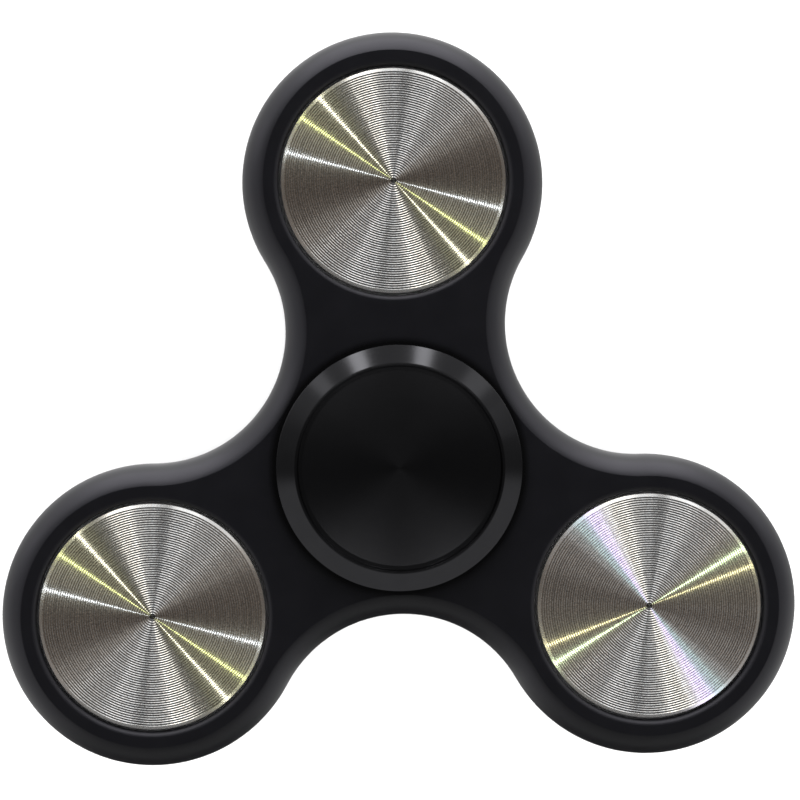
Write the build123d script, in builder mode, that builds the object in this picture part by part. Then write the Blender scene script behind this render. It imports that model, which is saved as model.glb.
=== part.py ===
"""Three-lobed fidget spinner: a moulded frame turning on a 608 ball bearing between two finger caps.

Units are millimetres. The origin is the centre of the bearing, +Z is the spin axis towards the
front cap, and the first lobe points along +Y. Each separate piece is one STEP file in parts/.
"""

import os
from math import atan2, cos, degrees, radians, sin, tan

from build123d import *

os.makedirs("parts", exist_ok=True)

# ---- Driving dimensions -------------------------------------------------------------------------

LOBE_COUNT = 3
FIRST_LOBE_ANGLE = 90.0
LOBE_STEP = 360.0 / LOBE_COUNT
LOBE_NAMES = ("a", "b", "c")

# Frame
pitch_radius = 28.0  # bearing centre to lobe centre
lobe_radius = 14.8
waist_reach = 14.5  # bearing centre to the nearest point of a waist
frame_thickness = 7.0
side_round = 3.2  # radius of the rounded side
rim_break_angle = 20.0  # slope at which the rounded side meets the flat face
lip_round = 0.5  # rounded lead-in of each lobe hole
seat_chamfer = 0.3

# 608 ball bearing
bearing_bore_radius = 4.0
bearing_outer_radius = 11.0
bearing_width = 7.0
bearing_edge_chamfer = 0.3
ball_count = 7
ball_radius = 1.984  # 5/32 inch ball
ball_pitch_radius = 7.5
ball_play = 0.015  # radial gap between a ball and each raceway
raceway_radius = 2.064  # 52% of the ball's diameter
inner_shoulder_radius = 6.05
outer_shoulder_radius = 9.0
shield_recess_radius = 9.75
shield_recess_depth = 0.8
shield_thickness = 0.3
shield_inner_radius = 6.35
shield_rim_width = 0.6
shield_step = 0.25  # how far the shield's middle stands out from its rim

# Ball cage
cage_sheet = 0.25
cage_half_width = 0.8
pocket_play = 0.1
rivet_radius = 0.3
rivet_head_radius = 0.5
rivet_head_height = 0.18

# Finger caps
cap_radius = 11.95
cap_clearance = 0.45  # frame face to the cap's underside
cap_edge_height = 0.65
cap_bevel_height = 1.3
cap_bevel_width = 1.8
cap_land_width = 0.2
cap_step_width = 0.5
cap_step_depth = 0.75
cap_dish_depth = 0.45
cap_shoulder_radius = 5.7
cap_spigot_length = 3.3
cap_spigot_chamfer = 0.3
cap_edge_break = 0.12

# Counterweights and their turned covers
weight_radius = 11.25
weight_bore_radius = 5.0
weight_chamfer = 0.4
cover_radius = 11.0
cover_thickness = 1.0
cover_recess = 0.3  # cover face below the frame's face
cover_edge_break = 0.12
cover_spigot_wall = 1.2
cover_spigot_length = 1.6

# ---- Worked out from the driving dimensions ------------------------------------------------------

frame_face = frame_thickness / 2
bearing_face = bearing_width / 2
cover_face = frame_face - cover_recess
weight_face = cover_face - cover_thickness

# The waist arc touches both neighbouring lobe circles, which sets its radius.
half_step = radians(LOBE_STEP / 2)
waist_radius = (
    pitch_radius**2 + waist_reach**2 - 2 * pitch_radius * waist_reach * cos(half_step) - lobe_radius**2
) / (2 * (lobe_radius + pitch_radius * cos(half_step) - waist_reach))
waist_centre_radius = waist_reach + waist_radius

# Half the sweep of a lobe's arc and of a waist's arc, up to the point where they touch.
along = waist_centre_radius * cos(half_step) - pitch_radius
across = waist_centre_radius * sin(half_step)
lobe_half_sweep = degrees(atan2(across, along))
waist_half_sweep = lobe_half_sweep - degrees(half_step)


def polar(radius, angle):
    """A point in the plane at this radius and this angle in degrees."""
    return (radius * cos(radians(angle)), radius * sin(radians(angle)))


def circles_of(part, radius):
    """The part's round edges of this radius."""
    return part.edges().filter_by(GeomType.CIRCLE).filter_by(lambda e: abs(e.radius - radius) < 0.001)


# ---- Frame ---------------------------------------------------------------------------------------

# The side is one full round. The flat faces are cut a little below where it would end, so each
# flat meets the side at a crisp edge.
round_end = frame_face + side_round * (1 - cos(radians(rim_break_angle)))

with BuildPart() as spinner_frame:
    with BuildSketch(Plane.XY.offset(-round_end)):
        with BuildLine():
            for lobe in range(LOBE_COUNT):
                lobe_angle = FIRST_LOBE_ANGLE + lobe * LOBE_STEP
                CenterArc(
                    polar(pitch_radius, lobe_angle),
                    lobe_radius,
                    lobe_angle - lobe_half_sweep,
                    2 * lobe_half_sweep,
                )
                waist_angle = lobe_angle + LOBE_STEP / 2
                CenterArc(
                    polar(waist_centre_radius, waist_angle),
                    waist_radius,
                    waist_angle + 180 - waist_half_sweep,
                    2 * waist_half_sweep,
                )
        make_face()
    extrude(amount=2 * round_end)
    fillet(spinner_frame.faces().filter_by(Axis.Z).edges(), side_round)
    split(bisect_by=Plane.XY.offset(frame_face), keep=Keep.BOTTOM)
    split(bisect_by=Plane.XY.offset(-frame_face), keep=Keep.TOP)
    Hole(bearing_outer_radius)
    with PolarLocations(pitch_radius, LOBE_COUNT, start_angle=FIRST_LOBE_ANGLE):
        Hole(weight_radius)
    fillet(circles_of(spinner_frame, weight_radius), lip_round)
    chamfer(circles_of(spinner_frame, bearing_outer_radius), seat_chamfer)
spinner_frame.part.label = "spinner_frame"
export_step(spinner_frame.part, "parts/spinner_frame.step")

# ---- Bearing rings -------------------------------------------------------------------------------

inner_track_centre = ball_pitch_radius - ball_radius - ball_play + raceway_radius
outer_track_centre = ball_pitch_radius + ball_radius + ball_play - raceway_radius

with BuildPart() as bearing_inner_ring:
    with BuildSketch(Plane.XZ):
        with Locations(((bearing_bore_radius + inner_shoulder_radius) / 2, 0)):
            Rectangle(inner_shoulder_radius - bearing_bore_radius, bearing_width)
        with Locations((inner_track_centre, 0)):
            Circle(raceway_radius, mode=Mode.SUBTRACT)
    revolve(axis=Axis.Z)
    chamfer(circles_of(bearing_inner_ring, bearing_bore_radius), bearing_edge_chamfer)
bearing_inner_ring.part.label = "bearing_inner_ring"
export_step(bearing_inner_ring.part, "parts/bearing_inner_ring.step")

with BuildPart() as bearing_outer_ring:
    with BuildSketch(Plane.XZ):
        with Locations(((outer_shoulder_radius + bearing_outer_radius) / 2, 0)):
            Rectangle(bearing_outer_radius - outer_shoulder_radius, bearing_width)
        with Locations((outer_track_centre, 0)):
            Circle(raceway_radius, mode=Mode.SUBTRACT)
        recess_width = shield_recess_radius - outer_shoulder_radius
        for end in (-1, 1):
            recess_middle = end * (bearing_face - shield_recess_depth / 2)
            with Locations((outer_shoulder_radius + recess_width / 2, recess_middle)):
                Rectangle(recess_width, shield_recess_depth, mode=Mode.SUBTRACT)
    revolve(axis=Axis.Z)
    chamfer(circles_of(bearing_outer_ring, bearing_outer_radius), bearing_edge_chamfer)
bearing_outer_ring.part.label = "bearing_outer_ring"
export_step(bearing_outer_ring.part, "parts/bearing_outer_ring.step")

# ---- Bearing shields -----------------------------------------------------------------------------

# A pressed sheet ring: a rim that sits in the outer ring's recess, a bend at 45 degrees and a
# middle that stands out a little further.
shield_rim_z = bearing_face - shield_recess_depth
shield_rim_inner = shield_recess_radius - shield_rim_width
shield_middle_outer = shield_rim_inner - shield_step
shield_bend_shift = shield_thickness * tan(radians(22.5))

with BuildPart() as shield_front:
    with BuildSketch(Plane.XZ):
        with BuildLine():
            Polyline(
                (shield_recess_radius, shield_rim_z),
                (shield_recess_radius, shield_rim_z + shield_thickness),
                (shield_rim_inner, shield_rim_z + shield_thickness),
                (shield_middle_outer, shield_rim_z + shield_thickness + shield_step),
                (shield_inner_radius, shield_rim_z + shield_thickness + shield_step),
                (shield_inner_radius, shield_rim_z + shield_step),
                (shield_middle_outer - shield_bend_shift, shield_rim_z + shield_step),
                (shield_rim_inner - shield_bend_shift, shield_rim_z),
                close=True,
            )
        make_face()
    revolve(axis=Axis.Z)
shield_front.part.label = "bearing_shield_front"
export_step(shield_front.part, "parts/bearing_shield_front.step")

with BuildPart() as shield_rear:
    mirror(shield_front.part, about=Plane.XY)
shield_rear.part.label = "bearing_shield_rear"
export_step(shield_rear.part, "parts/bearing_shield_rear.step")

# ---- Balls ---------------------------------------------------------------------------------------

for ball in range(ball_count):
    x, y = polar(ball_pitch_radius, FIRST_LOBE_ANGLE + ball * 360 / ball_count)
    with BuildPart() as bearing_ball:
        with Locations((x, y, 0)):
            Sphere(ball_radius)
    bearing_ball.part.label = f"bearing_ball_{ball + 1}"
    export_step(bearing_ball.part, f"parts/bearing_ball_{ball + 1}.step")

# ---- Ball cage -----------------------------------------------------------------------------------

# Each half is a flat ribbon with a dome over each ball. The two halves meet at the mid-plane and
# are riveted together between the balls.
dome_inner_radius = ball_radius + pocket_play
dome_outer_radius = dome_inner_radius + cage_sheet
first_rivet_angle = FIRST_LOBE_ANGLE + 180 / ball_count

with BuildPart() as cage_front:
    with BuildSketch():
        Circle(ball_pitch_radius + cage_half_width)
        Circle(ball_pitch_radius - cage_half_width, mode=Mode.SUBTRACT)
    extrude(amount=cage_sheet)
    with PolarLocations(ball_pitch_radius, ball_count, start_angle=FIRST_LOBE_ANGLE):
        Sphere(dome_outer_radius)
    with PolarLocations(ball_pitch_radius, ball_count, start_angle=FIRST_LOBE_ANGLE):
        Sphere(dome_inner_radius, mode=Mode.SUBTRACT)
    with BuildSketch():
        Circle(ball_pitch_radius + cage_half_width)
        Circle(ball_pitch_radius - cage_half_width, mode=Mode.SUBTRACT)
    extrude(amount=dome_outer_radius, mode=Mode.INTERSECT)
    with PolarLocations(ball_pitch_radius, ball_count, start_angle=first_rivet_angle):
        Hole(rivet_radius)
cage_front.part.label = "bearing_cage_front"
export_step(cage_front.part, "parts/bearing_cage_front.step")

with BuildPart() as cage_rear:
    mirror(cage_front.part, about=Plane.XY)
cage_rear.part.label = "bearing_cage_rear"
export_step(cage_rear.part, "parts/bearing_cage_rear.step")

with BuildPart() as cage_rivets:
    with PolarLocations(ball_pitch_radius, ball_count, start_angle=first_rivet_angle):
        Cylinder(rivet_radius, 2 * cage_sheet)
    for end in (-1, 1):
        with BuildSketch(Plane.XY.offset(end * cage_sheet)):
            with PolarLocations(ball_pitch_radius, ball_count, start_angle=first_rivet_angle):
                Circle(rivet_head_radius)
        extrude(amount=end * rivet_head_height)
cage_rivets.part.label = "bearing_cage_rivets"
export_step(cage_rivets.part, "parts/bearing_cage_rivets.step")

# ---- Finger caps ---------------------------------------------------------------------------------

cap_underside = frame_face + cap_clearance
cap_bevel_start = cap_underside + cap_edge_height
cap_top = cap_bevel_start + cap_bevel_height
land_outer = cap_radius - cap_bevel_width
land_inner = land_outer - cap_land_width
dish_radius = land_inner - cap_step_width
dish_edge = cap_top - cap_step_depth

with BuildPart() as front_cap:
    with BuildSketch(Plane.XZ):
        with BuildLine():
            Polyline(
                (0, dish_edge - cap_dish_depth),
                (0, bearing_face - cap_spigot_length),
                (bearing_bore_radius - cap_spigot_chamfer, bearing_face - cap_spigot_length),
                (bearing_bore_radius, bearing_face - cap_spigot_length + cap_spigot_chamfer),
                (bearing_bore_radius, bearing_face),
                (cap_shoulder_radius, bearing_face),
                (cap_shoulder_radius, cap_underside),
                (cap_radius - cap_edge_break, cap_underside),
                (cap_radius, cap_underside + cap_edge_break),
                (cap_radius, cap_bevel_start),
                (land_outer, cap_top),
                (land_inner, cap_top),
                (dish_radius, dish_edge),
            )
            dish_ball_radius = (dish_radius**2 + cap_dish_depth**2) / (2 * cap_dish_depth)
            RadiusArc((dish_radius, dish_edge), (0, dish_edge - cap_dish_depth), dish_ball_radius)
        make_face()
    revolve(axis=Axis.Z)
front_cap.part.label = "front_cap"
export_step(front_cap.part, "parts/front_cap.step")

with BuildPart() as rear_cap:
    mirror(front_cap.part, about=Plane.XY)
rear_cap.part.label = "rear_cap"
export_step(rear_cap.part, "parts/rear_cap.step")

# ---- Counterweights ------------------------------------------------------------------------------

for lobe, letter in enumerate(LOBE_NAMES):
    x, y = polar(pitch_radius, FIRST_LOBE_ANGLE + lobe * LOBE_STEP)
    with BuildPart() as counterweight:
        with Locations((x, y, 0)):
            Cylinder(weight_radius, 2 * weight_face)
            Cylinder(weight_bore_radius, 2 * weight_face, mode=Mode.SUBTRACT)
        chamfer(circles_of(counterweight, weight_radius), weight_chamfer)
    counterweight.part.label = f"counterweight_{letter}"
    export_step(counterweight.part, f"parts/counterweight_{letter}.step")

# ---- Turned covers -------------------------------------------------------------------------------

for lobe, letter in enumerate(LOBE_NAMES):
    lobe_angle = FIRST_LOBE_ANGLE + lobe * LOBE_STEP
    with BuildPart() as front_cover:
        with BuildSketch(Plane.XY.offset(weight_face)):
            with PolarLocations(pitch_radius, 1, start_angle=lobe_angle):
                Circle(cover_radius)
        extrude(amount=cover_thickness)
        chamfer(front_cover.edges().sort_by(Axis.Z)[-1], cover_edge_break)
        with BuildSketch(Plane.XY.offset(weight_face)):
            with PolarLocations(pitch_radius, 1, start_angle=lobe_angle):
                Circle(weight_bore_radius)
                Circle(weight_bore_radius - cover_spigot_wall, mode=Mode.SUBTRACT)
        extrude(amount=-cover_spigot_length)
    front_cover.part.label = f"front_cover_{letter}"
    export_step(front_cover.part, f"parts/front_cover_{letter}.step")

    with BuildPart() as rear_cover:
        mirror(front_cover.part, about=Plane.XY)
    rear_cover.part.label = f"rear_cover_{letter}"
    export_step(rear_cover.part, f"parts/rear_cover_{letter}.step")

# ---- Sizes and ratios for the record -------------------------------------------------------------

frame_size = spinner_frame.part.bounding_box().size
print(f"overall {frame_size.X:.2f} x {frame_size.Y:.2f} x {2 * cap_top:.2f} mm")
print(f"waist arc radius {waist_radius:.3f} mm")
print(f"cap land at z {cap_top:.3f} mm, radius {land_inner:.3f} to {land_outer:.3f} mm")
cage_ratio = (ball_pitch_radius + ball_radius) / (2 * ball_pitch_radius)
ball_ratio = cage_ratio * (ball_pitch_radius / ball_radius - 1)
print(f"for one turn of the frame the cage makes {cage_ratio:.6f} of a turn")
print(f"and each ball makes {ball_ratio:.6f} turns within the cage")
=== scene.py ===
"""The looks of a three-lobed fidget spinner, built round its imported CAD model.

Blender units are metres. Sizes are given in millimetres and multiplied by MM. The origin is the
centre of the bearing, +Z is the spin axis and lobe a points along +Y.
"""

from math import acos, atan, atan2, cos, degrees, hypot, pi, radians, sin, sqrt, tan

import bmesh
import bpy
from mathutils import Matrix, Vector


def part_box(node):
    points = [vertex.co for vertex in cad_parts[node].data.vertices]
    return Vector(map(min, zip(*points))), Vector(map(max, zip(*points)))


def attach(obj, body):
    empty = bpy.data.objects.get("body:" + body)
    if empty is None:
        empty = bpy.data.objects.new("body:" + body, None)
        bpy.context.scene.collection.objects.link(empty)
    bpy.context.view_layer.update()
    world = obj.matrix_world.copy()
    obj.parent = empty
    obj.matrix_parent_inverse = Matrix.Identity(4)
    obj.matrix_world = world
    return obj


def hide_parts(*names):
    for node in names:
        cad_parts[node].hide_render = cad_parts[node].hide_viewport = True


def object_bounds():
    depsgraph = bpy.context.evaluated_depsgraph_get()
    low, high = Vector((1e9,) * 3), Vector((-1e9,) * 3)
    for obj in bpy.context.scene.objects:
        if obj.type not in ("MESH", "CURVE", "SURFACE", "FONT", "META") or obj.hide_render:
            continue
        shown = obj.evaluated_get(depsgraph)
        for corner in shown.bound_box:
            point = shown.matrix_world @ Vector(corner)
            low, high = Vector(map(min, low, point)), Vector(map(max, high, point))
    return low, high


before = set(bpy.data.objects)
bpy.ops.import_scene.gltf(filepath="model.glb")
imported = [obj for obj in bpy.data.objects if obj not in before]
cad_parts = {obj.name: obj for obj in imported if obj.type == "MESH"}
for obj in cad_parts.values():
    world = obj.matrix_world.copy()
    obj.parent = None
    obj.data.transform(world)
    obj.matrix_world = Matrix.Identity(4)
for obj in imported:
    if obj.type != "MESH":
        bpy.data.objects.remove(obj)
cad_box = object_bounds()

MM = 0.001
ORIGIN = Vector((0, 0, 0))
LOBES = ("a", "b", "c")
SIDES = ("front", "rear")


# ---- Sizes -----------------------------------------------------------------------------------------


def middle(node):
    """The centre of a CAD node's box."""
    low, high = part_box(node)
    return (low + high) / 2


def outer_radius(node):
    """Half the width of a round CAD node."""
    low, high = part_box(node)
    return (high.x - low.x) / 2


lobe_centres = [middle(f"counterweight_{lobe}") for lobe in LOBES]
pitch_radius = lobe_centres[0].length
frame_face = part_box("spinner_frame")[1].z
lobe_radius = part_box("spinner_frame")[1].y - pitch_radius
weight_hole_radius = outer_radius("counterweight_a")
hub_hole_radius = outer_radius("bearing_outer_ring")
cover_radius = outer_radius("front_cover_a")
cover_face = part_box("front_cover_a")[1].z
cover_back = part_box("counterweight_a")[1].z
cover_spigot_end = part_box("front_cover_a")[0].z
cap_radius = outer_radius("front_cap")
cap_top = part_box("front_cap")[1].z
cap_spigot_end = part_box("front_cap")[0].z
bearing_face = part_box("bearing_inner_ring")[1].z
floor_height = cad_box[0].z

# Frame
WAIST_REACH = 14.5 * MM
SIDE_ROUND = 3.2 * MM
RIM_BREAK_ANGLE = radians(20)
RIM_BREAK_ROUND = 0.2 * MM
RIM_BREAK_STEPS = 4
SIDE_STEPS = 14
LIP_STEPS = 8
LIP_ROUND = 0.5 * MM
SEAT_ROUND = 0.3 * MM
PARTING_HALF_WIDTH = 0.06 * MM
PARTING_DEPTH = 0.03 * MM
PARTING_TILT = radians(130)

# Covers
GROOVE_PITCH = 0.232 * MM
GROOVE_DEPTH = 0.027 * MM
GROOVE_STEPS = 4
PIP_RADIUS = 0.32 * MM
PIP_DEPTH = 0.08 * MM
PIP_FLAT_SHARE = 0.3
PIP_RING_DEPTH_SHARE = 0.6
PIP_RING_TOP_SHARE = 0.2
COVER_RIM_WIDTH = 0.28 * MM
COVER_RIM_TILT = radians(18)
COVER_EDGE_ROUND = 0.08 * MM
COVER_EDGE_STEPS = 4
COVER_SPIGOT_RADIUS = 5.0 * MM
COVER_SPIGOT_WALL = 1.2 * MM

# Caps
CAP_CLEARANCE = 0.45 * MM
CAP_EDGE_HEIGHT = 0.65 * MM
CAP_BEVEL_WIDTH = 1.8 * MM
CAP_LAND_WIDTH = 0.2 * MM
CAP_STEP_WIDTH = 0.5 * MM
CAP_STEP_DEPTH = 0.75 * MM
CAP_DISH_DEPTH = 0.45 * MM
CAP_DISH_STEPS = 96
CAP_SHOULDER_RADIUS = 5.7 * MM
CAP_SPIGOT_RADIUS = 4.0 * MM
CAP_SPIGOT_CHAMFER = 0.3 * MM
CAP_STEP_DRAFT = 0.15 * MM
CAP_STEP_ROUND = 0.012 * MM
CAP_LAND_ROUND = 0.25 * MM
CAP_RIM_ROUND = 0.08 * MM
cap_underside = frame_face + CAP_CLEARANCE
cap_bevel_foot = cap_underside + CAP_EDGE_HEIGHT


# ---- Surfaces of revolution -----------------------------------------------------------------------
#
# A profile is a list of (radius, height, tilt). Tilt is the angle of the surface's outward normal
# from +Z towards +radius. Two entries at one place with different tilts make a crease.

LATHE_SEGMENTS = 192
CORNER_STEPS = 5
SAME_PLACE = 1e-9
LONGEST_CUT = 0.4


def flat(start, end):
    """A straight stretch of profile. Material lies on its right, going from start to end."""
    tilt = atan2(start[1] - end[1], end[0] - start[0])
    return [(*start, tilt), (*end, tilt)]


def round_edge(centre, radius, first, last, steps):
    """A convex arc of profile, between two tilts."""
    tilts = [first + (last - first) * k / steps for k in range(steps + 1)]
    return [(centre[0] + radius * sin(t), centre[1] + radius * cos(t), t) for t in tilts]


def hollow(inner, outer, depth, height, steps):
    """A shallow concave arc between two radii. Its ends are at height and its middle is depth below."""
    half = (outer - inner) / 2
    curve = (half**2 + depth**2) / (2 * depth)
    points = []
    for k in range(steps + 1):
        across = half * (2 * k / steps - 1)
        rise = curve - sqrt(curve**2 - across**2)
        points.append((inner + half + across, height - depth + rise, -atan(across / (curve - rise))))
    return points


def joined(corners, radii):
    """A profile through corners, rounded by radii at all of them but the first and the last.

    A rounding takes at most LONGEST_CUT of the straight on either side of its corner.
    """
    points = []
    for k, radius in enumerate(radii, start=1):
        before, corner, after = corners[k - 1], corners[k], corners[k + 1]
        way_in = Vector(corner) - Vector(before)
        way_out = Vector(after) - Vector(corner)
        tilt_in = atan2(-way_in.y, way_in.x)
        turn = (atan2(-way_out.y, way_out.x) - tilt_in + pi) % (2 * pi) - pi
        bend = abs(sin(turn / 2) / cos(turn / 2))
        cut = min(radius * bend, LONGEST_CUT * way_in.length, LONGEST_CUT * way_out.length)
        start = Vector(corner) - way_in.normalized() * cut
        arc = cut / bend
        side = 1 if turn > 0 else -1
        centre = start - side * arc * Vector((sin(tilt_in), cos(tilt_in)))
        if k == 1:
            points.append((*before, tilt_in))
        for step in range(CORNER_STEPS + 1):
            tilt = tilt_in + turn * step / CORNER_STEPS
            spot = centre + side * arc * Vector((sin(tilt), cos(tilt)))
            points.append((spot.x, spot.y, tilt))
        if k == len(corners) - 2:
            points.append((*after, tilt_in + turn))
    return points


def lathe(name, profile, centre=ORIGIN, flip=False):
    """Turns a closed profile, which starts and ends on the axis, into a mesh with exact normals.

    flip mirrors it in the plane z = 0, for a rear piece.
    """
    side = -1 if flip else 1
    ring_of = []
    vertices = []
    spots = []
    for radius, height, _ in profile:
        if spots and hypot(radius - spots[-1][0], height - spots[-1][1]) < SAME_PLACE:
            ring_of.append(ring_of[-1])
            continue
        spots.append((radius, height))
        first = len(vertices)
        if radius < SAME_PLACE:
            vertices.append((centre.x, centre.y, side * height))
            ring_of.append([first] * LATHE_SEGMENTS)
            continue
        for k in range(LATHE_SEGMENTS):
            angle = 2 * pi * k / LATHE_SEGMENTS
            x = centre.x + radius * cos(angle)
            y = centre.y + radius * sin(angle)
            vertices.append((x, y, side * height))
        ring_of.append(list(range(first, first + LATHE_SEGMENTS)))

    faces = []
    normals = []
    for k in range(len(profile) - 1):
        ring, next_ring = ring_of[k], ring_of[k + 1]
        if ring is next_ring:
            continue
        for s in range(LATHE_SEGMENTS):
            t = (s + 1) % LATHE_SEGMENTS
            corners = [
                (ring[s], s, k),
                (next_ring[s], s, k + 1),
                (next_ring[t], t, k + 1),
                (ring[t], t, k),
            ]
            if ring[s] == ring[t]:
                corners.pop(3)
            elif next_ring[s] == next_ring[t]:
                corners.pop(2)
            if flip:
                corners.reverse()
            faces.append([corner[0] for corner in corners])
            for _, step, entry in corners:
                angle = 2 * pi * step / LATHE_SEGMENTS
                tilt = profile[entry][2]
                normals.append((sin(tilt) * cos(angle), sin(tilt) * sin(angle), side * cos(tilt)))
    mesh = bpy.data.meshes.new(name)
    mesh.from_pydata(vertices, [], faces)
    mesh.normals_split_custom_set(normals)
    return place(name, mesh)


def place(name, mesh):
    """Puts a mesh in the scene as an object."""
    piece = bpy.data.objects.new(name, mesh)
    bpy.context.scene.collection.objects.link(piece)
    return piece


# ---- The frame ------------------------------------------------------------------------------------

HALF_STEP = radians(60)
waist_radius = (pitch_radius**2 + WAIST_REACH**2 - pitch_radius * WAIST_REACH - lobe_radius**2) / (
    2 * lobe_radius + pitch_radius - 2 * WAIST_REACH
)
waist_centre_radius = WAIST_REACH + waist_radius
lobe_half_sweep = atan2(
    waist_centre_radius * sin(HALF_STEP), waist_centre_radius * cos(HALF_STEP) - pitch_radius
)
waist_half_sweep = lobe_half_sweep - HALF_STEP
LOBE_STEPS = 162
WAIST_STEPS = 66
HOLE_STEPS = 192


def outline(inset):
    """Points round the frame's outline moved inwards by inset, each with its outward direction."""
    points = []
    for lobe, centre in enumerate(lobe_centres):
        lobe_angle = radians(90 + 120 * lobe)
        for k in range(LOBE_STEPS):
            angle = lobe_angle + lobe_half_sweep * (2 * k / LOBE_STEPS - 1)
            out = Vector((cos(angle), sin(angle), 0))
            points.append((centre + (lobe_radius - inset) * out, out))
        waist_angle = lobe_angle + HALF_STEP
        waist_centre = waist_centre_radius * Vector((cos(waist_angle), sin(waist_angle), 0))
        for k in range(WAIST_STEPS):
            angle = waist_angle + pi + waist_half_sweep * (1 - 2 * k / WAIST_STEPS)
            out = -Vector((cos(angle), sin(angle), 0))
            points.append((waist_centre - (waist_radius + inset) * out, out))
    return points


def circle(centre, radius):
    """Points round a hole, each with the direction from the wall to the hole's axis."""
    angles = [2 * pi * k / HOLE_STEPS for k in range(HOLE_STEPS)]
    ways = [Vector((cos(a), sin(a), 0)) for a in angles]
    return [(centre + radius * way, -way) for way in ways]


def side_profile():
    """(inset, height, tilt) from the front face's edge, down the rounded side, to mid-height."""
    main_height = frame_face - SIDE_ROUND * cos(RIM_BREAK_ANGLE)
    small_height = frame_face - RIM_BREAK_ROUND
    apart = SIDE_ROUND - RIM_BREAK_ROUND
    meet = acos((small_height - main_height) / apart)
    small_inset = SIDE_ROUND - apart * sin(meet)
    points = []
    for k in range(RIM_BREAK_STEPS):
        tilt = meet * k / RIM_BREAK_STEPS
        inset = small_inset - RIM_BREAK_ROUND * sin(tilt)
        points.append((inset, small_height + RIM_BREAK_ROUND * cos(tilt), tilt))
    for k in range(SIDE_STEPS + 1):
        tilt = meet + (pi / 2 - meet) * k / SIDE_STEPS
        points.append((SIDE_ROUND * (1 - sin(tilt)), main_height + SIDE_ROUND * cos(tilt), tilt))
    points.append((0, PARTING_HALF_WIDTH, pi / 2))
    points.append((PARTING_DEPTH / 2, PARTING_HALF_WIDTH / 2, PARTING_TILT))
    return points


def mirrored(points):
    """A profile's front half, its middle and the same half mirrored for the rear."""
    return points, [(depth, -height, pi - tilt) for depth, height, tilt in reversed(points)]


def make_frame():
    """The moulded frame: rounded side, flat faces and four through holes with rounded lips."""
    bm = bmesh.new()
    normals = []
    face_edges = {1: [], -1: []}

    def add_wall(rings):
        """Joins rings of (place, way out) at (height, tilt) with quads, from front to rear."""
        rows = []
        for points, height, tilt in rings:
            row = []
            for spot, out in points:
                row.append(bm.verts.new((spot.x, spot.y, height)))
                normals.append((out.x * sin(tilt), out.y * sin(tilt), cos(tilt)))
            rows.append(row)
        for row, next_row in zip(rows, rows[1:]):
            for k in range(len(row)):
                n = (k + 1) % len(row)
                bm.faces.new((row[k], next_row[k], next_row[n], row[n]))
        for side, row in ((1, rows[0]), (-1, rows[-1])):
            face_edges[side] += [bm.edges.get((row[k - 1], row[k])) for k in range(len(row))]

    front, rear = mirrored(side_profile())
    whole = front + [(PARTING_DEPTH, 0, pi / 2)] + rear
    add_wall([(outline(inset), height, tilt) for inset, height, tilt in whole])

    holes = [(centre, weight_hole_radius, LIP_ROUND) for centre in lobe_centres]
    holes.append((ORIGIN, hub_hole_radius, SEAT_ROUND))
    for centre, radius, lip in holes:
        tilts = [pi / 2 * k / LIP_STEPS for k in range(LIP_STEPS + 1)]
        half = [(lip * (1 - sin(t)), frame_face - lip * (1 - cos(t)), t) for t in tilts]
        front, rear = mirrored(half)
        add_wall([(circle(centre, radius + wide), height, tilt) for wide, height, tilt in front + rear])

    for side, edges in face_edges.items():
        bmesh.ops.triangle_fill(bm, use_beauty=True, edges=edges, normal=(0, 0, side))
    bmesh.ops.recalc_face_normals(bm, faces=bm.faces)
    mesh = bpy.data.meshes.new("moulded_frame")
    bm.to_mesh(mesh)
    bm.free()
    mesh.normals_split_custom_set_from_vertices(normals)
    return place("moulded_frame", mesh)


# ---- Turned covers and caps -----------------------------------------------------------------------


rim_start = cover_radius - COVER_EDGE_ROUND * (1 - sin(COVER_RIM_TILT)) - COVER_RIM_WIDTH
groove_count = round((rim_start - PIP_RADIUS) / GROOVE_PITCH)
groove_pitch = (rim_start - PIP_RADIUS) / groove_count


def cover_profile():
    """A cover: centre pip, scalloped turning grooves, tilted rim, plain back and tubular spigot."""
    profile = [(0, cover_face - PIP_DEPTH, 0)]
    pip_flat = PIP_RADIUS * PIP_FLAT_SHARE
    ring_depth = PIP_DEPTH * PIP_RING_DEPTH_SHARE
    ring_top = cover_face - PIP_DEPTH * PIP_RING_TOP_SHARE
    profile += hollow(pip_flat, PIP_RADIUS, ring_depth, ring_top, GROOVE_STEPS)
    for groove in range(groove_count):
        start = PIP_RADIUS + groove * groove_pitch
        profile += hollow(start, start + groove_pitch, GROOVE_DEPTH, cover_face, GROOVE_STEPS)
    bore = COVER_SPIGOT_RADIUS - COVER_SPIGOT_WALL
    rim_end = cover_face - COVER_RIM_WIDTH * tan(COVER_RIM_TILT)
    edge_height = rim_end - COVER_EDGE_ROUND * cos(COVER_RIM_TILT)
    profile += flat((rim_start, cover_face), (rim_start + COVER_RIM_WIDTH, rim_end))
    edge_centre = (cover_radius - COVER_EDGE_ROUND, edge_height)
    profile += round_edge(edge_centre, COVER_EDGE_ROUND, COVER_RIM_TILT, pi / 2, COVER_EDGE_STEPS)
    corners = [
        (cover_radius, edge_height),
        (cover_radius, cover_back),
        (COVER_SPIGOT_RADIUS, cover_back),
        (COVER_SPIGOT_RADIUS, cover_spigot_end),
        (bore, cover_spigot_end),
        (bore, cover_back),
        (0, cover_back),
    ]
    for start, end in zip(corners, corners[1:]):
        profile += flat(start, end)
    return profile


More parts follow.
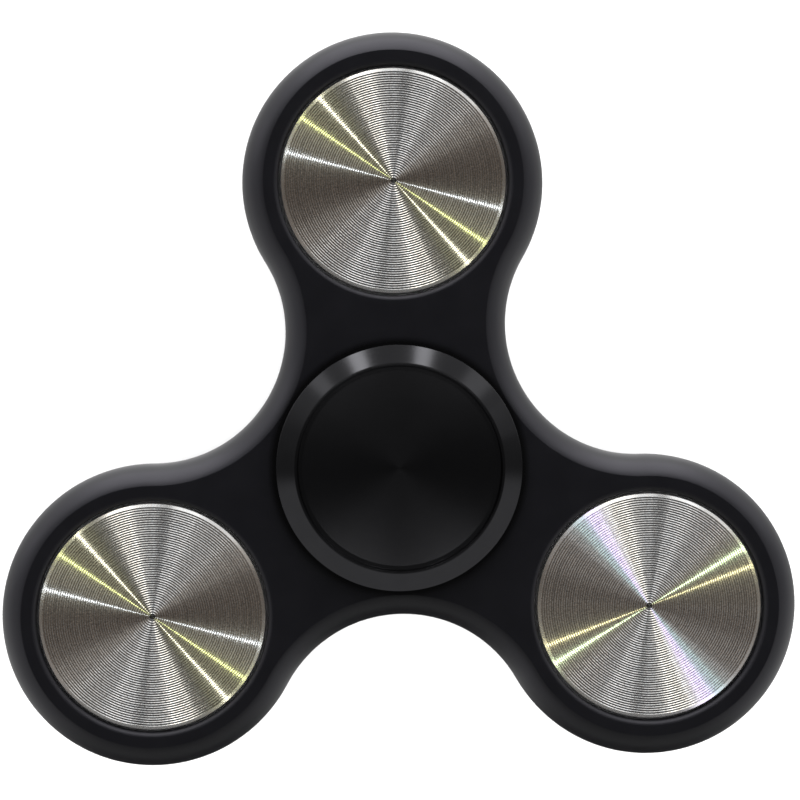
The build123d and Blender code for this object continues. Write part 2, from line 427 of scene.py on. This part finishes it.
def cap_profile():
    """A finger cap: dish, drafted step, narrow land, bevel, edge, underside, shoulder and spigot."""
    land_outer = cap_radius - CAP_BEVEL_WIDTH
    land_inner = land_outer - CAP_LAND_WIDTH
    dish_radius = land_inner - CAP_STEP_WIDTH
    dish_edge = cap_top - CAP_STEP_DEPTH
    dish = hollow(-dish_radius, dish_radius, CAP_DISH_DEPTH, dish_edge, CAP_DISH_STEPS)
    profile = [entry for entry in dish if entry[0] >= 0]
    corners = [
        (dish_radius, dish_edge),
        (land_inner - CAP_STEP_DRAFT, dish_edge),
        (land_inner, cap_top),
        (land_outer, cap_top),
        (cap_radius, cap_bevel_foot),
        (cap_radius, cap_underside),
        (CAP_SHOULDER_RADIUS, cap_underside),
    ]
    radii = (CAP_STEP_ROUND, CAP_STEP_ROUND, CAP_LAND_ROUND, CAP_RIM_ROUND, CAP_RIM_ROUND)
    profile += joined(corners, radii)
    corners = [
        (CAP_SHOULDER_RADIUS, cap_underside),
        (CAP_SHOULDER_RADIUS, bearing_face),
        (CAP_SPIGOT_RADIUS, bearing_face),
        (CAP_SPIGOT_RADIUS, cap_spigot_end + CAP_SPIGOT_CHAMFER),
        (CAP_SPIGOT_RADIUS - CAP_SPIGOT_CHAMFER, cap_spigot_end),
        (0, cap_spigot_end),
    ]
    for start, end in zip(corners, corners[1:]):
        profile += flat(start, end)
    return profile


# ---- Materials ------------------------------------------------------------------------------------


class Nodes:
    """A small helper that adds and links shader nodes of one material."""

    def __init__(self, tree):
        self.tree = tree

    def add(self, kind, **settings):
        node = self.tree.nodes.new(kind)
        for key, value in settings.items():
            setattr(node, key, value)
        return node

    def link(self, output, socket):
        self.tree.links.new(output, socket)

    def value(self, socket, source):
        """Sets a socket to a plain value, or links it to an output."""
        if isinstance(source, bpy.types.NodeSocket):
            self.link(source, socket)
        else:
            socket.default_value = source

    def math(self, operation, *inputs):
        node = self.add("ShaderNodeMath", operation=operation)
        for socket, source in zip(node.inputs, inputs):
            self.value(socket, source)
        return node.outputs[0]

    def span(self, value, from_low, from_high, to_low, to_high, smooth=False):
        """Maps a value from one range to another."""
        node = self.add("ShaderNodeMapRange", interpolation_type="SMOOTHSTEP" if smooth else "LINEAR")
        for name, source in (
            ("Value", value),
            ("From Min", from_low),
            ("From Max", from_high),
            ("To Min", to_low),
            ("To Max", to_high),
        ):
            self.value(node.inputs[name], source)
        return node.outputs["Result"]

    def mix(self, factor, first, second):
        """Mixes two colours."""
        node = self.add("ShaderNodeMix", data_type="RGBA")
        self.value(node.inputs["Factor"], factor)
        colours = [socket for socket in node.inputs if socket.type == "RGBA"]
        self.value(colours[0], first)
        self.value(colours[1], second)
        return next(out for out in node.outputs if out.type == "RGBA")

    def noise(self, coordinates, scale, detail, roughness=0.5):
        """A cloudy value around 0.5. Scale is in clouds to one unit of the coordinates."""
        node = self.add("ShaderNodeTexNoise")
        self.link(coordinates, node.inputs["Vector"])
        node.inputs["Scale"].default_value = scale
        node.inputs["Detail"].default_value = detail
        node.inputs["Roughness"].default_value = roughness
        return node.outputs["Fac"]

    def shifted(self, vector, amount):
        """A vector moved along X, so that a second noise differs from the first."""
        node = self.add("ShaderNodeVectorMath", operation="ADD")
        self.link(vector, node.inputs[0])
        node.inputs[1].default_value = (amount, 0, 0)
        return node.outputs[0]

    def bump(self, height, distance):
        node = self.add("ShaderNodeBump")
        self.link(height, node.inputs["Height"])
        node.inputs["Distance"].default_value = distance
        return node.outputs["Normal"]


def new_material(name):
    """An empty Principled material and its node helper."""
    material = bpy.data.materials.new(name)
    material.use_nodes = True
    nodes = Nodes(material.node_tree)
    shader = next(n for n in material.node_tree.nodes if n.type == "BSDF_PRINCIPLED")
    return material, nodes, shader


def millimetres(nodes, centre=ORIGIN):
    """The place on the piece in millimetres from centre, as a vector."""
    place_node = nodes.add("ShaderNodeTexCoord")
    mapping = nodes.add("ShaderNodeMapping", vector_type="POINT")
    nodes.link(place_node.outputs["Object"], mapping.inputs["Vector"])
    mapping.inputs["Scale"].default_value = (1 / MM,) * 3
    mapping.inputs["Location"].default_value = -centre / MM
    return mapping.outputs["Vector"]


def radius_of(nodes, vector):
    """Distance from the Z axis, in millimetres."""
    split = nodes.add("ShaderNodeSeparateXYZ")
    nodes.link(vector, split.inputs[0])
    square = [nodes.math("MULTIPLY", split.outputs[k], split.outputs[k]) for k in range(2)]
    return nodes.math("SQRT", nodes.math("ADD", *square))


def by_radius(nodes, radius):
    """A coordinate that changes only with radius, so that a texture on it makes rings."""
    node = nodes.add("ShaderNodeCombineXYZ")
    nodes.link(radius, node.inputs[0])
    return node.outputs[0]


# In full turns from the direction of the marks
ACROSS_THE_MARKS = 0.25

# Ranges of a noise, from nearly all of it to its middle
NOISE_WIDE, NOISE_USUAL, NOISE_NARROW = (0.2, 0.8), (0.3, 0.7), (0.35, 0.65)


def turned(nodes, shader, strength):
    """Highlights that run across the turning marks, as on any lathe-turned face."""
    shader.inputs["Anisotropic"].default_value = strength
    shader.inputs["Anisotropic Rotation"].default_value = ACROSS_THE_MARKS
    tangent = nodes.add("ShaderNodeTangent", direction_type="RADIAL", axis="Z")
    nodes.link(tangent.outputs["Tangent"], shader.inputs["Tangent"])


# Pairs of roughness or shade are (least, most)
PLASTIC_DARKER, PLASTIC_LIGHTER = (0.0072, 0.0072, 0.0094, 1), (0.0092, 0.0092, 0.0118, 1)
# Painted shadow: the plastic's colour next to the cap, darkened where the cap's shade falls
PLASTIC_PAINTED_CAP_SHADOW = (0.0008, 0.0008, 0.0010, 1)
PLASTIC_ROUGHNESS = (0.36, 0.41)
PLASTIC_GRAIN_ROUGHNESS = 0.02
LIP_EXTRA_ROUGHNESS = 0.14
LIP_FADE_MM = 0.1
BY_CAP_LESS_ROUGHNESS = 0.12
PAINTED_CAP_SHADOW_FADE_MM = (0.2, 1.0)
PLASTIC_GRAIN_HEIGHT = 0.0012 * MM
PLASTIC_IOR = 1.5


def moulded_plastic():
    """Black satin ABS: fine mould grain, uneven gloss, duller hole lips, painted shadow by the cap."""
    material, nodes, shader = new_material("moulded_black")
    place_mm = millimetres(nodes)
    cloud = nodes.noise(place_mm, scale=0.35, detail=3)
    grain = nodes.noise(place_mm, scale=9, detail=3, roughness=0.6)
    from_cap = nodes.math("SUBTRACT", radius_of(nodes, place_mm), cap_radius / MM)
    # A mask of painted shadow round the cap, which also makes the plastic glossier there
    painted_cap_shadow_mask = nodes.span(from_cap, *PAINTED_CAP_SHADOW_FADE_MM, 1, 0, smooth=True)
    plain = nodes.mix(cloud, PLASTIC_DARKER, PLASTIC_LIGHTER)
    # Painted shadow: the base colour turns much darker next to the cap
    nodes.link(nodes.mix(painted_cap_shadow_mask, plain, PLASTIC_PAINTED_CAP_SHADOW), shader.inputs["Base Color"])

    to_lobes = [radius_of(nodes, millimetres(nodes, centre)) for centre in lobe_centres]
    nearest = nodes.math("MINIMUM", nodes.math("MINIMUM", *to_lobes[:2]), to_lobes[2])
    lip_end = (weight_hole_radius + LIP_ROUND) / MM
    on_lip = nodes.span(nearest, lip_end - LIP_FADE_MM, lip_end, 1, 0, smooth=True)
    gloss = nodes.span(cloud, *NOISE_USUAL, *PLASTIC_ROUGHNESS)
    by_grain = nodes.span(grain, *NOISE_WIDE, -PLASTIC_GRAIN_ROUGHNESS, PLASTIC_GRAIN_ROUGHNESS)
    gloss = nodes.math("ADD", gloss, by_grain)
    gloss = nodes.math("ADD", gloss, nodes.math("MULTIPLY", on_lip, LIP_EXTRA_ROUGHNESS))
    gloss = nodes.math("SUBTRACT", gloss, nodes.math("MULTIPLY", painted_cap_shadow_mask, BY_CAP_LESS_ROUGHNESS))
    nodes.link(gloss, shader.inputs["Roughness"])
    nodes.link(nodes.bump(grain, PLASTIC_GRAIN_HEIGHT), shader.inputs["Normal"])
    shader.inputs["IOR"].default_value = PLASTIC_IOR
    return material


ALUMINIUM_COLD, ALUMINIUM_WARM = (0.90, 0.91, 0.91, 1), (0.93, 0.90, 0.87, 1)
# Painted shade: the colour of the groove bottoms, darker where shade falls in the grooves
GROOVE_PAINTED_SHADE = (0.030, 0.029, 0.027, 1)
# Painted highlight and shade: the grooves' colour, from dark bottoms to bright crests
PAINTED_GROOVE_SHADING = (0.14, 1.08)
RING_SHADE = (0.75, 1.15)
SPECK_SHADE = (0.50, 1.40)
# Painted shade: the centre pip's hollow is coloured darker
PIP_PAINTED_SHADE = (0.15, 1.0)
# Shares of the pip's radius between which its painted shade turns from dark to bright
PIP_FADE = (0.8, 1.1)
ALUMINIUM_ROUGHNESS = (0.085, 0.105)
RIM_EXTRA_ROUGHNESS = 0.12
SPECK_HEIGHT = 0.0006 * MM


def turned_aluminium(name, centre):
    """Bare turned aluminium: painted crest highlights and groove shade, uneven rings, warm and cold
    specks.
    """
    material, nodes, shader = new_material(name)
    place_mm = millimetres(nodes, centre)
    radius = radius_of(nodes, place_mm)
    from_pip = nodes.math("SUBTRACT", radius, PIP_RADIUS / MM)
    crest = nodes.math("COSINE", nodes.math("MULTIPLY", from_pip, 2 * pi * MM / groove_pitch))
    ring = nodes.noise(by_radius(nodes, radius), scale=3.1, detail=2)
    speck = nodes.noise(place_mm, scale=6, detail=2, roughness=0.7)
    warmth = nodes.noise(nodes.shifted(place_mm, 40), scale=4.5, detail=1, roughness=0.6)
    # Painted highlight on the crests and painted shade in the groove bottoms
    painted_groove_shading = nodes.span(crest, -1.0, 1.0, *PAINTED_GROOVE_SHADING)
    # shade holds the painted groove shading, then the random ring and speck tone
    shade = nodes.math("MULTIPLY", painted_groove_shading, nodes.span(ring, *NOISE_USUAL, *RING_SHADE))
    shade = nodes.math("MULTIPLY", shade, nodes.span(speck, *NOISE_USUAL, *SPECK_SHADE))
    on_rim = nodes.math("GREATER_THAN", radius, rim_start / MM)
    # Painted shade in the centre pip's hollow
    dark_end, bright_start = (share * PIP_RADIUS / MM for share in PIP_FADE)
    pip = nodes.span(radius, dark_end, bright_start, *PIP_PAINTED_SHADE, smooth=True)
    shade = nodes.math("MULTIPLY", nodes.math("MAXIMUM", shade, on_rim), pip)
    warmth = nodes.span(warmth, *NOISE_NARROW, 0, 1)
    bright = nodes.mix(warmth, ALUMINIUM_COLD, ALUMINIUM_WARM)
    nodes.link(nodes.mix(shade, GROOVE_PAINTED_SHADE, bright), shader.inputs["Base Color"])
    gloss = nodes.span(ring, *NOISE_USUAL, *ALUMINIUM_ROUGHNESS)
    gloss = nodes.math("ADD", gloss, nodes.math("MULTIPLY", on_rim, RIM_EXTRA_ROUGHNESS))
    nodes.link(gloss, shader.inputs["Roughness"])
    nodes.link(nodes.bump(speck, SPECK_HEIGHT), shader.inputs["Normal"])
    shader.inputs["Metallic"].default_value = 1.0
    turned(nodes, shader, 1.0)
    return material


ANODISED_DARKER, ANODISED_LIGHTER = (0.080, 0.080, 0.085, 1), (0.093, 0.093, 0.099, 1)
ANODISED_ROUGHNESS = (0.17, 0.22)
ANODISED_MARK_HEIGHT = 0.0006 * MM
ANODISED_STRETCH = 0.5


def black_anodised():
    """Black anodised aluminium with fine turning marks."""
    material, nodes, shader = new_material("black_anodised")
    place_mm = millimetres(nodes)
    radius = radius_of(nodes, place_mm)
    ring = nodes.noise(by_radius(nodes, radius), scale=9, detail=4, roughness=0.7)
    cloud = nodes.noise(place_mm, scale=0.6, detail=2)
    nodes.link(nodes.mix(cloud, ANODISED_DARKER, ANODISED_LIGHTER), shader.inputs["Base Color"])
    gloss = nodes.span(ring, *NOISE_WIDE, *ANODISED_ROUGHNESS)
    nodes.link(gloss, shader.inputs["Roughness"])
    nodes.link(nodes.bump(ring, ANODISED_MARK_HEIGHT), shader.inputs["Normal"])
    shader.inputs["Metallic"].default_value = 1.0
    turned(nodes, shader, ANODISED_STRETCH)
    return material


STEEL_STAIN = 0.8
STEEL_ROUGHNESS_SPREAD = (0.85, 1.2)
STEEL_MARK_HEIGHT = 0.0008 * MM


def steel(name, colour, roughness, ring_marks=0.0):
    """A steel finish: polished, ground in rings or pressed, by its roughness and marks."""
    material, nodes, shader = new_material(name)
    place_mm = millimetres(nodes)
    grain = nodes.noise(place_mm, scale=6, detail=3, roughness=0.6)
    stain = nodes.noise(place_mm, scale=0.8, detail=2)
    darker = tuple(STEEL_STAIN * c for c in colour) + (1,)
    nodes.link(nodes.mix(stain, darker, colour + (1,)), shader.inputs["Base Color"])
    smoothest, roughest = (roughness * share for share in STEEL_ROUGHNESS_SPREAD)
    gloss = nodes.span(grain, *NOISE_WIDE, smoothest, roughest)
    nodes.link(gloss, shader.inputs["Roughness"])
    height = grain
    if ring_marks:
        by_ring = by_radius(nodes, radius_of(nodes, place_mm))
        rings = nodes.noise(by_ring, scale=12, detail=3, roughness=0.7)
        height = nodes.math("ADD", grain, nodes.math("MULTIPLY", rings, ring_marks))
    nodes.link(nodes.bump(height, STEEL_MARK_HEIGHT), shader.inputs["Normal"])
    shader.inputs["Metallic"].default_value = 1.0
    return material


def give(piece, material):
    """Makes this the piece's only material."""
    piece.data.materials.clear()
    piece.data.materials.append(material)


# ---- Making the pieces ----------------------------------------------------------------------------

plastic = moulded_plastic()
anodised = black_anodised()

body = make_frame()
give(body, plastic)
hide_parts("spinner_frame")
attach(body, "rotor")

covers = []
for lobe, centre in zip(LOBES, lobe_centres):
    aluminium = turned_aluminium(f"turned_aluminium_{lobe}", centre)
    for side in SIDES:
        cover = lathe(f"turned_cover_{side}_{lobe}", cover_profile(), centre, flip=side == "rear")
        give(cover, aluminium)
        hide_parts(f"{side}_cover_{lobe}")
        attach(cover, "rotor")
        covers.append(cover)

caps = []
for side in SIDES:
    cap = lathe(f"finger_cap_{side}", cap_profile(), flip=side == "rear")
    give(cap, anodised)
    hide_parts(f"{side}_cap")
    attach(cap, "hub")
    caps.append(cap)

ground = steel("ground_steel", colour=(0.56, 0.56, 0.57), roughness=0.22, ring_marks=1.0)
polished = steel("polished_steel", colour=(0.70, 0.70, 0.71), roughness=0.06)
pressed = steel("pressed_steel", colour=(0.46, 0.44, 0.40), roughness=0.34)
shield_sheet = steel("shield_steel", colour=(0.52, 0.52, 0.52), roughness=0.28, ring_marks=0.5)
turned_steel = steel("turned_steel", colour=(0.50, 0.50, 0.50), roughness=0.30, ring_marks=0.8)
FINISHES = {
    "bearing_outer_ring": ground,
    "bearing_inner_ring": ground,
    "bearing_ball": polished,
    "bearing_cage": pressed,
    "bearing_shield": shield_sheet,
    "counterweight": turned_steel,
}
for name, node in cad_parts.items():
    for start, material in FINISHES.items():
        if name.startswith(start):
            give(node, material)


# ---- Stage, light and camera ----------------------------------------------------------------------

PANEL_DISTANCE = 1.5

FLOOR_RADIUS = 4.0
FLOOR_SEGMENTS = 96
FLOOR_COLOUR = (0.86, 0.86, 0.86, 1)
FLOOR_ROUGHNESS = 0.9
FLOOR_LIGHT_STRENGTH = 7.0
FLOOR_LIGHT_SPREAD = radians(100)

CAMERA_PLACE = Vector((-8.5, 7.2, 240)) * MM
CAMERA_TARGET = Vector((0.34, 6.58, 0)) * MM
CAMERA_ROLL = radians(-1.1)
LENS_MM = 109.4
SENSOR_MM = 36

# Grey levels of the surroundings, as (northing, level). Northing is -1 at -Y and 1 at +Y.
BELOW = ((-0.95, 0.05), (-0.5, 0.9), (0.1, 0.6), (0.7, 0.95), (1, 1.5))
HORIZON = ((-0.2, 0.35), (-0.06, 0.09), (0.3, 0.13), (0.6, 0.28))
HIGH = ((-0.65, 0.12), (-0.2, 0.042), (0.2, 0.042), (0.65, 0.10))
ZENITH_LEVEL = 0.024
# Heights on the unit sphere between which one band of the surroundings turns into the next.
BELOW_TO_HORIZON = (-0.25, 0.0)
HORIZON_TO_HIGH = (0.45, 0.70)
HIGH_TO_ZENITH = (0.973, 0.996)


def make_floor():
    """A wide plain white floor under the rear cap."""
    bm = bmesh.new()
    bmesh.ops.create_circle(bm, cap_ends=True, segments=FLOOR_SEGMENTS, radius=FLOOR_RADIUS)
    mesh = bpy.data.meshes.new("floor")
    bm.to_mesh(mesh)
    bm.free()
    floor = place("floor", mesh)
    floor.location.z = floor_height
    material, _, shader = new_material("white_floor")
    shader.inputs["Base Color"].default_value = FLOOR_COLOUR
    shader.inputs["Roughness"].default_value = FLOOR_ROUGHNESS
    shader.inputs["Specular IOR Level"].default_value = 0.0
    give(floor, material)
    floor.visible_glossy = False
    floor.visible_shadow = False
    return floor


light_groups = {}


def only_on(light, piece):
    """Lets a light reach one piece alone. Lights of one piece share a group, as only 64 can exist."""
    if piece.name not in light_groups:
        group = bpy.data.collections.new(f"lit_{piece.name}")
        group.objects.link(piece)
        light_groups[piece.name] = group
    light.light_linking.receiver_collection = light_groups[piece.name]


def direction(azimuth, elevation):
    """A unit vector, from angles in degrees."""
    turn, rise = radians(azimuth), radians(elevation)
    return Vector((cos(turn) * cos(rise), sin(turn) * cos(rise), sin(rise)))


def panel(name, away, width, height, radiance, piece, colour, aim=ORIGIN, across=None):
    """A soft box in direction away from aim, facing it and lighting one piece.

    Width and height are angles in degrees. The width is level, or lies along the vector across.
    """
    lamp = bpy.data.lights.new(name, "AREA")
    lamp.shape = "RECTANGLE"
    lamp.size = 2 * PANEL_DISTANCE * tan(radians(width / 2))
    lamp.size_y = 2 * PANEL_DISTANCE * tan(radians(height / 2))
    lamp.color = colour
    lamp.energy = radiance * pi * lamp.size * lamp.size_y
    light = place(name, lamp)
    light.visible_camera = False
    light.location = aim + PANEL_DISTANCE * away
    upright = away.cross(across or Vector((0, 0, 1)).cross(away)).normalized()
    light.rotation_euler = Matrix((upright.cross(away), upright, away)).transposed().to_euler()
    only_on(light, piece)


def glint(name, piece, centre, azimuth, tilt, width, height, radiance, colour=(1, 1, 1)):
    """A soft box that the camera sees mirrored along one azimuth of a turned face.

    Tilt, in degrees, is that of the mirroring facets, which lean towards the azimuth.
    """
    to_camera = (CAMERA_PLACE - centre).normalized()
    facet = direction(azimuth, 90 - tilt)
    away = 2 * facet.dot(to_camera) * facet - to_camera
    panel(name, away, width, height, radiance, piece, colour, centre, direction(azimuth + 90, 0))


def make_world():
    """Soft surroundings: dark overhead, brighter before and behind, and a white backdrop."""
    world = bpy.data.worlds.new("studio")
    bpy.context.scene.world = world
    world.use_nodes = True
    world.node_tree.nodes.clear()
    nodes = Nodes(world.node_tree)
    place_node = nodes.add("ShaderNodeTexCoord")
    split = nodes.add("ShaderNodeSeparateXYZ")
    nodes.link(place_node.outputs["Generated"], split.inputs[0])
    _, y, z = split.outputs
    level_length = radius_of(nodes, place_node.outputs["Generated"])
    northing = nodes.math("DIVIDE", y, nodes.math("MAXIMUM", level_length, 0.001))
    across = nodes.span(northing, -1, 1, 0, 1)

    def round_about(stops):
        """A colour by azimuth, from (northing, grey level) pairs."""
        ramp = nodes.add("ShaderNodeValToRGB")
        ramp.color_ramp.interpolation = "EASE"
        places = ramp.color_ramp.elements
        while len(places) < len(stops):
            places.new(0.5)
        for element, (where, level) in zip(places, stops):
            element.position = (where + 1) / 2
            element.color = (level, level, level, 1)
        nodes.link(across, ramp.inputs["Fac"])
        return ramp.outputs["Color"]

    below = round_about(BELOW)
    horizon = round_about(HORIZON)
    high = round_about(HIGH)
    zenith = (ZENITH_LEVEL, ZENITH_LEVEL, ZENITH_LEVEL, 1)
    colour = nodes.mix(nodes.span(z, *BELOW_TO_HORIZON, 0, 1, smooth=True), below, horizon)
    colour = nodes.mix(nodes.span(z, *HORIZON_TO_HIGH, 0, 1, smooth=True), colour, high)
    colour = nodes.mix(nodes.span(z, *HIGH_TO_ZENITH, 0, 1, smooth=True), colour, zenith)
    seen, lit = nodes.add("ShaderNodeBackground"), nodes.add("ShaderNodeBackground")
    nodes.link(colour, lit.inputs["Color"])
    seen.inputs["Color"].default_value = (1, 1, 1, 1)
    path = nodes.add("ShaderNodeLightPath")
    choose = nodes.add("ShaderNodeMixShader")
    nodes.link(path.outputs["Is Camera Ray"], choose.inputs[0])
    nodes.link(lit.outputs[0], choose.inputs[1])
    nodes.link(seen.outputs[0], choose.inputs[2])
    output = nodes.add("ShaderNodeOutputWorld")
    nodes.link(choose.outputs[0], output.inputs["Surface"])


def light_floor(floor):
    """A wide soft sun that only the floor receives, so that it stays white up to the horizon."""
    lamp = bpy.data.lights.new("floor_light", "SUN")
    lamp.energy = FLOOR_LIGHT_STRENGTH
    lamp.angle = FLOOR_LIGHT_SPREAD
    light = place("floor_light", lamp)
    only_on(light, floor)


def make_camera():
    """A long lens almost straight above, a little towards -X and +Y, and turned slightly."""
    forward = (CAMERA_TARGET - CAMERA_PLACE).normalized()
    right = forward.cross(Vector((0, 1, 0))).normalized()
    up = right.cross(forward)
    axes = Matrix((right, up, -forward)).transposed() @ Matrix.Rotation(CAMERA_ROLL, 3, "Z")
    lens = bpy.data.cameras.new("camera")
    lens.lens = LENS_MM
    lens.sensor_width = SENSOR_MM
    lens.clip_start = 0.01
    camera = place("camera", lens)
    camera.location = CAMERA_PLACE
    camera.rotation_euler = axes.to_euler()
    bpy.context.scene.camera = camera


make_world()
floor = make_floor()
light_floor(floor)

# name, azimuth, elevation, width, height, radiance
BODY_PANELS = (
    ("body_north", 90, 16, 64, 52, 1.8),
    ("body_north_wide", 92, 16, 138, 56, 0.9),
    ("body_east", -10, 14, 80, 60, 0.45),
    ("body_west", 190, 14, 80, 60, 0.45),
)
COOL = (0.92, 0.90, 1)
for name, azimuth, elevation, width, height, radiance in BODY_PANELS:
    panel(name, direction(azimuth, elevation), width, height, radiance, body, COOL)

# azimuth, width, radiance
CAP_GLINTS = ((24, 16, 0.10), (47, 12, 0.45), (77, 8, 2.7), (110, 8, 3.0), (132, 8, 0.6))
CAP_GLINT_HEIGHT = 24
bevel_tilt = degrees(atan2(cap_top - cap_bevel_foot, CAP_BEVEL_WIDTH))
top_centre = Vector((0, 0, cap_top))
for k, (azimuth, width, radiance) in enumerate(CAP_GLINTS):
    name = f"cap_glint_{k}"
    glint(name, caps[0], top_centre, azimuth, bevel_tilt, width, CAP_GLINT_HEIGHT, radiance)
# azimuth, radiance
DISH_GLINTS = ((62, 0.80), (118, 0.80), (240, 0.18), (302, 0.18))
DISH_TILT, DISH_GLINT = 7.5, 10
for azimuth, radiance in DISH_GLINTS:
    name = f"dish_glint_{azimuth}"
    glint(name, caps[0], top_centre, azimuth, DISH_TILT, DISH_GLINT, DISH_GLINT, radiance)

# Colours of the light on the covers
WHITE = (0.98, 0.99, 1)
COLD_WHITE = (0.90, 0.96, 1)
WARM_WHITE = (1, 0.97, 0.88)
CREAM = (1, 0.98, 0.74)
BROWN = (1, 0.77, 0.58)
AMBER = (1, 0.92, 0.48)
YELLOW_GREEN = (0.98, 1, 0.40)
GREEN_YELLOW = (0.92, 1, 0.38)
GREEN = (0.78, 1, 0.58)
PALE_GREEN = (0.98, 1, 0.80)
VIOLET = (0.74, 0.62, 1)
ICE = (0.70, 0.98, 1)

# azimuth, width, radiance, colour. The broad ones light one side of every groove, so that the
# grooves stand out. The sparks and the brown fill come in pairs, half a turn apart, and light
# both sides.
BROAD_GLINTS = (
    (35, 12, 0.16, WARM_WHITE),
    (53, 16, 0.66, WHITE),
    (71, 10, 1.05, WHITE),
    (94, 12, 0.80, WHITE),
    (106.5, 9, 1.90, WARM_WHITE),
)
SPARKS = (
    (131, 0.7, 6.8, CREAM),
    (144.8, 0.6, 5.0, GREEN_YELLOW),
    (136, 18, 0.13, YELLOW_GREEN),
    (158, 15, 0.14, PALE_GREEN),
    (164.3, 0.5, 5.4, COLD_WHITE),
)
ODD_LOBE = "c"
ODD_LOBE_SPARKS = (
    (8, 18, 0.06, WARM_WHITE),
    (20, 0.7, 4.6, AMBER),
    (25, 14, 0.09, YELLOW_GREEN),
    (30, 0.9, 6.4, GREEN),
    (115, 4, 0.75, WHITE),
    (121, 4.6, 1.8, VIOLET),
    (128, 5, 0.75, ICE),
    (135, 5, 0.22, WHITE),
    (146, 16, 0.06, WHITE),
)
GLINT_TILT, GLINT_HEIGHT = 17, 44
FILL_TILT, FILL_WIDTH, FILL_HEIGHT, FILL_RADIANCE = 9, 38, 24, 0.25
# The light in the gap round a cover, which falls on the counterweight below
GAP_WIDTH, GAP_RADIANCE = 50, 28


def cover_glint(name, cover, face, azimuth, width, radiance, colour):
    """A soft box mirrored by the groove sides of one cover."""
    glint(name, cover, face, azimuth, GLINT_TILT, width, GLINT_HEIGHT, radiance, colour)


for lobe, centre in enumerate(lobe_centres):
    sparks = ODD_LOBE_SPARKS if LOBES[lobe] == ODD_LOBE else SPARKS
    name = f"cover_{LOBES[lobe]}"
    cover = covers[2 * lobe]
    face = Vector((centre.x, centre.y, cover_face))
    for k, (azimuth, *rest) in enumerate(BROAD_GLINTS):
        cover_glint(f"{name}_broad_{k}", cover, face, azimuth, *rest)
    for turn in (0, 180):
        for k, (azimuth, *rest) in enumerate(sparks):
            cover_glint(f"{name}_spark_{turn}_{k}", cover, face, azimuth + turn, *rest)
        fill = f"{name}_fill_{turn}"
        glint(fill, cover, face, turn, FILL_TILT, FILL_WIDTH, FILL_HEIGHT, FILL_RADIANCE, BROWN)
    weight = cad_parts[f"counterweight_{LOBES[lobe]}"]
    glint(f"gap_{LOBES[lobe]}", weight, face, 0, 0, GAP_WIDTH, GAP_WIDTH, GAP_RADIANCE)
make_camera()

bpy.context.scene.view_settings.view_transform = "Standard"
